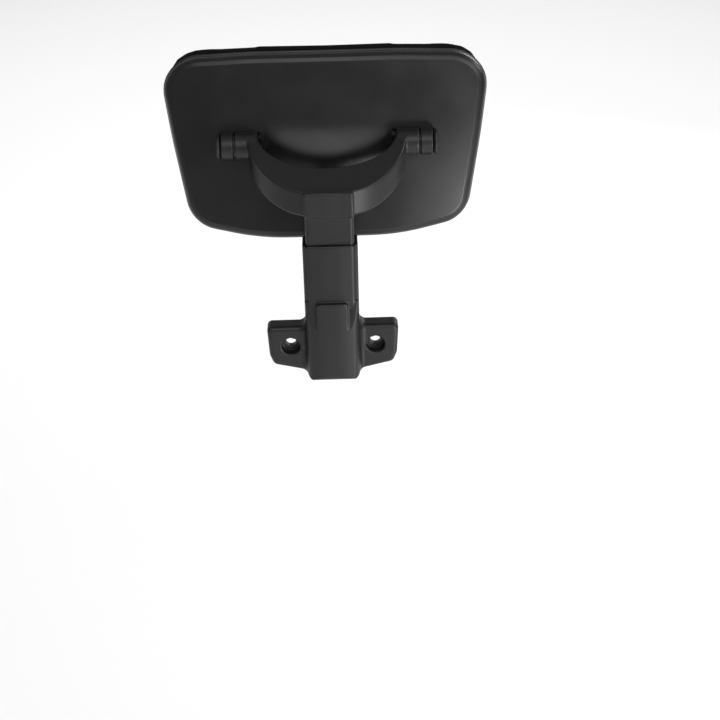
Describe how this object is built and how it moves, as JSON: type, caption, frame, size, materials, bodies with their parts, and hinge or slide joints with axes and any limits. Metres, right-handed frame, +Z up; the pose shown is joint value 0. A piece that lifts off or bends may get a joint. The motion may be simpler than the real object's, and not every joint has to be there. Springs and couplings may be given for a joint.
{
  "type": "chair headrest attachment",
  "caption": "Screw-on office-chair headrest: bracket with sliding neck, curved yoke and a tilting trapezoidal pad with a smooth rear shell.",
  "frame": {"origin": "middle of the two screw holes, on the bracket's flat face that bears on the chair", "axes": "+X to the sitter's right, +Y the way the sitter faces, +Z up along the neck"},
  "size_m": [0.2722, 0.1325, 0.2612],
  "materials": {
    "satin_shell": "satin, very fine moulded grain",
    "black_moulding": "fine matt grain",
    "white_glide": "smooth low-friction plastic",
    "zinc_steel": "zinc plated",
    "spring_steel": "tempered, bright",
    "grey_board": "recycled moulded board",
    "foam": "open-cell foam",
    "cover_fabric": "black knitted mesh"
  },
  "bodies": {
    "mount_body": {"mount_bracket": "black_moulding", "detent_clip": "spring_steel", "glide_pad_lower_left": "white_glide", "glide_pad_lower_right": "white_glide", "glide_pad_upper_left": "white_glide", "glide_pad_upper_right": "white_glide", "travel_stop_screw": "zinc_steel"},
    "yoke_body": {"yoke": "black_moulding", "stem_end_cap": "black_moulding", "lock_nut_left": "zinc_steel", "lock_nut_right": "zinc_steel", "pivot_bolt_left": "zinc_steel", "pivot_bolt_right": "zinc_steel"},
    "pad_body": {"board_clip_1": "black_moulding", "board_clip_2": "black_moulding", "board_clip_3": "black_moulding", "board_clip_4": "black_moulding", "board_clip_5": "black_moulding", "board_clip_6": "black_moulding", "cushion_board": "grey_board", "fabric_cover": "cover_fabric", "foam_core": "foam", "friction_washer_left": "black_moulding", "friction_washer_right": "black_moulding", "hinge_cap_left": "black_moulding", "hinge_cap_right": "black_moulding", "hinge_knuckle_left": "black_moulding", "hinge_knuckle_right": "black_moulding", "knuckle_screw_left_lower": "zinc_steel", "knuckle_screw_left_upper": "zinc_steel", "knuckle_screw_right_lower": "zinc_steel", "knuckle_screw_right_upper": "zinc_steel", "rear_shell": "satin_shell"}
  },
  "joints": [
    {"name": "height_slide", "type": "slide", "parent": "mount_body", "child": "yoke_body", "axis": [0, 0, 1], "range_m": [-0.016, 0.024]},
    {"name": "head_tilt", "type": "hinge", "parent": "yoke_body", "child": "pad_body", "pos_m": [0, 0.0445, 0.16], "axis": [1, 0, 0], "range_deg": [-18, 36]}
  ]
}
